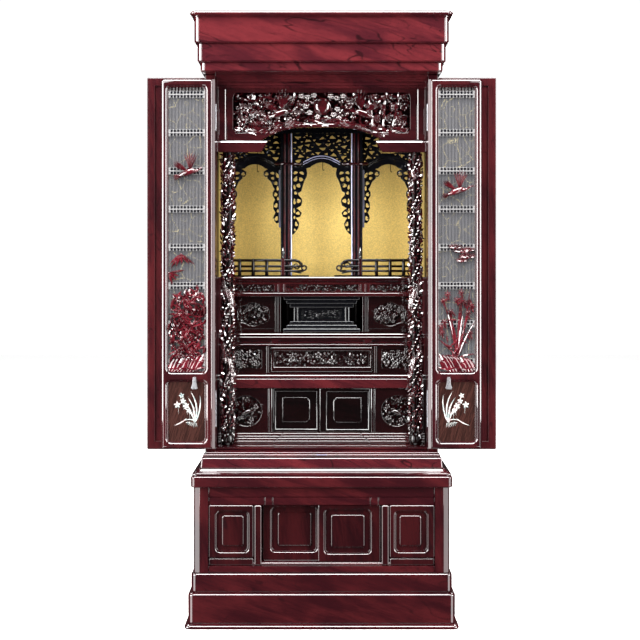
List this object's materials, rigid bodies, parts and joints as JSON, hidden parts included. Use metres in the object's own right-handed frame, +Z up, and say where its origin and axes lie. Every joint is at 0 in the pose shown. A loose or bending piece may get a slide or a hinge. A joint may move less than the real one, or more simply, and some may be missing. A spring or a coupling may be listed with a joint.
{
  "type": "buddhist home altar",
  "caption": "Floor-standing rosewood altar cabinet with folding doors, lattice doors, a gilt carved shrine over stepped shelves, and a panelled base.",
  "frame": {"origin": "on the floor under the middle of the outline", "axes": "+X to the right of a person facing the altar's front, +Y to the back, +Z up"},
  "size_m": [0.998, 0.62, 1.7209],
  "materials": {
    "rosewood": "glossy clear lacquer",
    "dark_rosewood": "glossy clear lacquer",
    "black_lacquer": "polished black lacquer",
    "gold_leaf": "matte gold leaf on board",
    "silver": "engraved white metal",
    "gauze": "sheer grey gauze with gold thread",
    "shell": "mother-of-pearl inlay"
  },
  "bodies": {
    "root": {"plinth": "rosewood", "base_floor": "dark_rosewood", "base_side_left": "rosewood", "base_side_right": "rosewood", "base_back": "dark_rosewood", "base_post_left": "rosewood", "base_post_right": "rosewood", "base_rail_top": "rosewood", "base_rail_low": "rosewood", "base_panel_left": "rosewood", "base_panel_right": "rosewood", "base_top": "rosewood", "cabinet_sill": "rosewood", "cabinet_side_left": "rosewood", "cabinet_side_right": "rosewood", "cabinet_back": "dark_rosewood", "cabinet_floor": "rosewood", "cabinet_ceiling": "dark_rosewood", "cornice": "rosewood", "gold_back": "gold_leaf", "gold_side_left": "gold_leaf", "gold_side_right": "gold_leaf", "head_rail": "rosewood", "transom": "rosewood", "nageshi_left": "rosewood", "nageshi_right": "rosewood", "pillar_left": "rosewood", "pillar_right": "rosewood", "shrine_post_left": "black_lacquer", "shrine_post_right": "black_lacquer", "shrine_beam": "black_lacquer", "shrine_screen": "black_lacquer", "railing_left": "black_lacquer", "railing_right": "black_lacquer", "shelf_1": "rosewood", "carved_band": "rosewood", "dais": "black_lacquer", "tier_2_left": "rosewood", "tier_2_right": "rosewood", "shelf_2": "rosewood", "tier_3_front": "rosewood", "shelf_3": "rosewood", "tier_4_left": "rosewood", "tier_4_right": "rosewood", "low_rails": "rosewood"},
    "outer_a_left": {"outer_door_a_left": "rosewood"},
    "outer_b_left": {"outer_door_b_left": "rosewood"},
    "lattice_a_left": {"lattice_door_a_left": "rosewood"},
    "lattice_b_left": {"lattice_door_b_left": "rosewood", "door_pull_left": "silver"},
    "base_slider_left": {"base_door_left": "dark_rosewood"},
    "small_slider_left": {"small_door_left": "rosewood"},
    "outer_a_right": {"outer_door_a_right": "rosewood"},
    "outer_b_right": {"outer_door_b_right": "rosewood"},
    "lattice_a_right": {"lattice_door_a_right": "rosewood"},
    "lattice_b_right": {"lattice_door_b_right": "rosewood", "door_pull_right": "silver"},
    "base_slider_right": {"base_door_right": "dark_rosewood"},
    "small_slider_right": {"small_door_right": "rosewood"},
    "tray": {"tray": "rosewood"}
  },
  "joints": [
    {"name": "outer_hinge_left", "type": "hinge", "parent": "root", "child": "outer_a_left", "pos_m": [-0.333, -0.213, 1], "axis": [0, 0, 1], "range_deg": [0, 180]},
    {"name": "outer_fold_left", "type": "hinge", "parent": "outer_a_left", "child": "outer_b_left", "pos_m": [-0.49925, -0.19225, 1], "axis": [0, 0, 1], "range_deg": [0, 180]},
    {"name": "lattice_hinge_left", "type": "hinge", "parent": "root", "child": "lattice_a_left", "pos_m": [-0.3025, -0.2115, 1], "axis": [0, 0, 1], "range_deg": [0, 180]},
    {"name": "lattice_fold_left", "type": "hinge", "parent": "lattice_a_left", "child": "lattice_b_left", "pos_m": [-0.453, -0.233, 1], "axis": [0, 0, 1], "range_deg": [-180, 0]},
    {"name": "base_slide_left", "type": "slide", "parent": "root", "child": "base_slider_left", "axis": [1, 0, 0], "range_m": [0, 0.155]},
    {"name": "small_slide_left", "type": "slide", "parent": "root", "child": "small_slider_left", "axis": [1, 0, 0], "range_m": [0, 0.1365]},
    {"name": "outer_hinge_right", "type": "hinge", "parent": "root", "child": "outer_a_right", "pos_m": [0.333, -0.213, 1], "axis": [0, 0, -1], "range_deg": [0, 180]},
    {"name": "outer_fold_right", "type": "hinge", "parent": "outer_a_right", "child": "outer_b_right", "pos_m": [0.49925, -0.19225, 1], "axis": [0, 0, -1], "range_deg": [0, 180]},
    {"name": "lattice_hinge_right", "type": "hinge", "parent": "root", "child": "lattice_a_right", "pos_m": [0.3025, -0.2115, 1], "axis": [0, 0, -1], "range_deg": [0, 180]},
    {"name": "lattice_fold_right", "type": "hinge", "parent": "lattice_a_right", "child": "lattice_b_right", "pos_m": [0.453, -0.233, 1], "axis": [0, 0, -1], "range_deg": [-180, 0]},
    {"name": "base_slide_right", "type": "slide", "parent": "root", "child": "base_slider_right", "axis": [-1, 0, 0], "range_m": [0, 0.155]},
    {"name": "small_slide_right", "type": "slide", "parent": "root", "child": "small_slider_right", "axis": [-1, 0, 0], "range_m": [0, 0.1365]},
    {"name": "tray_slide", "type": "slide", "parent": "root", "child": "tray", "axis": [0, -1, 0], "range_m": [0, 0.25]}
  ],
  "couplings": [
    {"joint": "outer_fold_left", "follows": "outer_hinge_left", "ratio": 1},
    {"joint": "lattice_hinge_left", "follows": "outer_hinge_left", "ratio": 1},
    {"joint": "lattice_fold_left", "follows": "outer_hinge_left", "ratio": -1},
    {"joint": "outer_fold_right", "follows": "outer_hinge_right", "ratio": 1},
    {"joint": "lattice_hinge_right", "follows": "outer_hinge_right", "ratio": 1},
    {"joint": "lattice_fold_right", "follows": "outer_hinge_right", "ratio": -1}
  ]
}
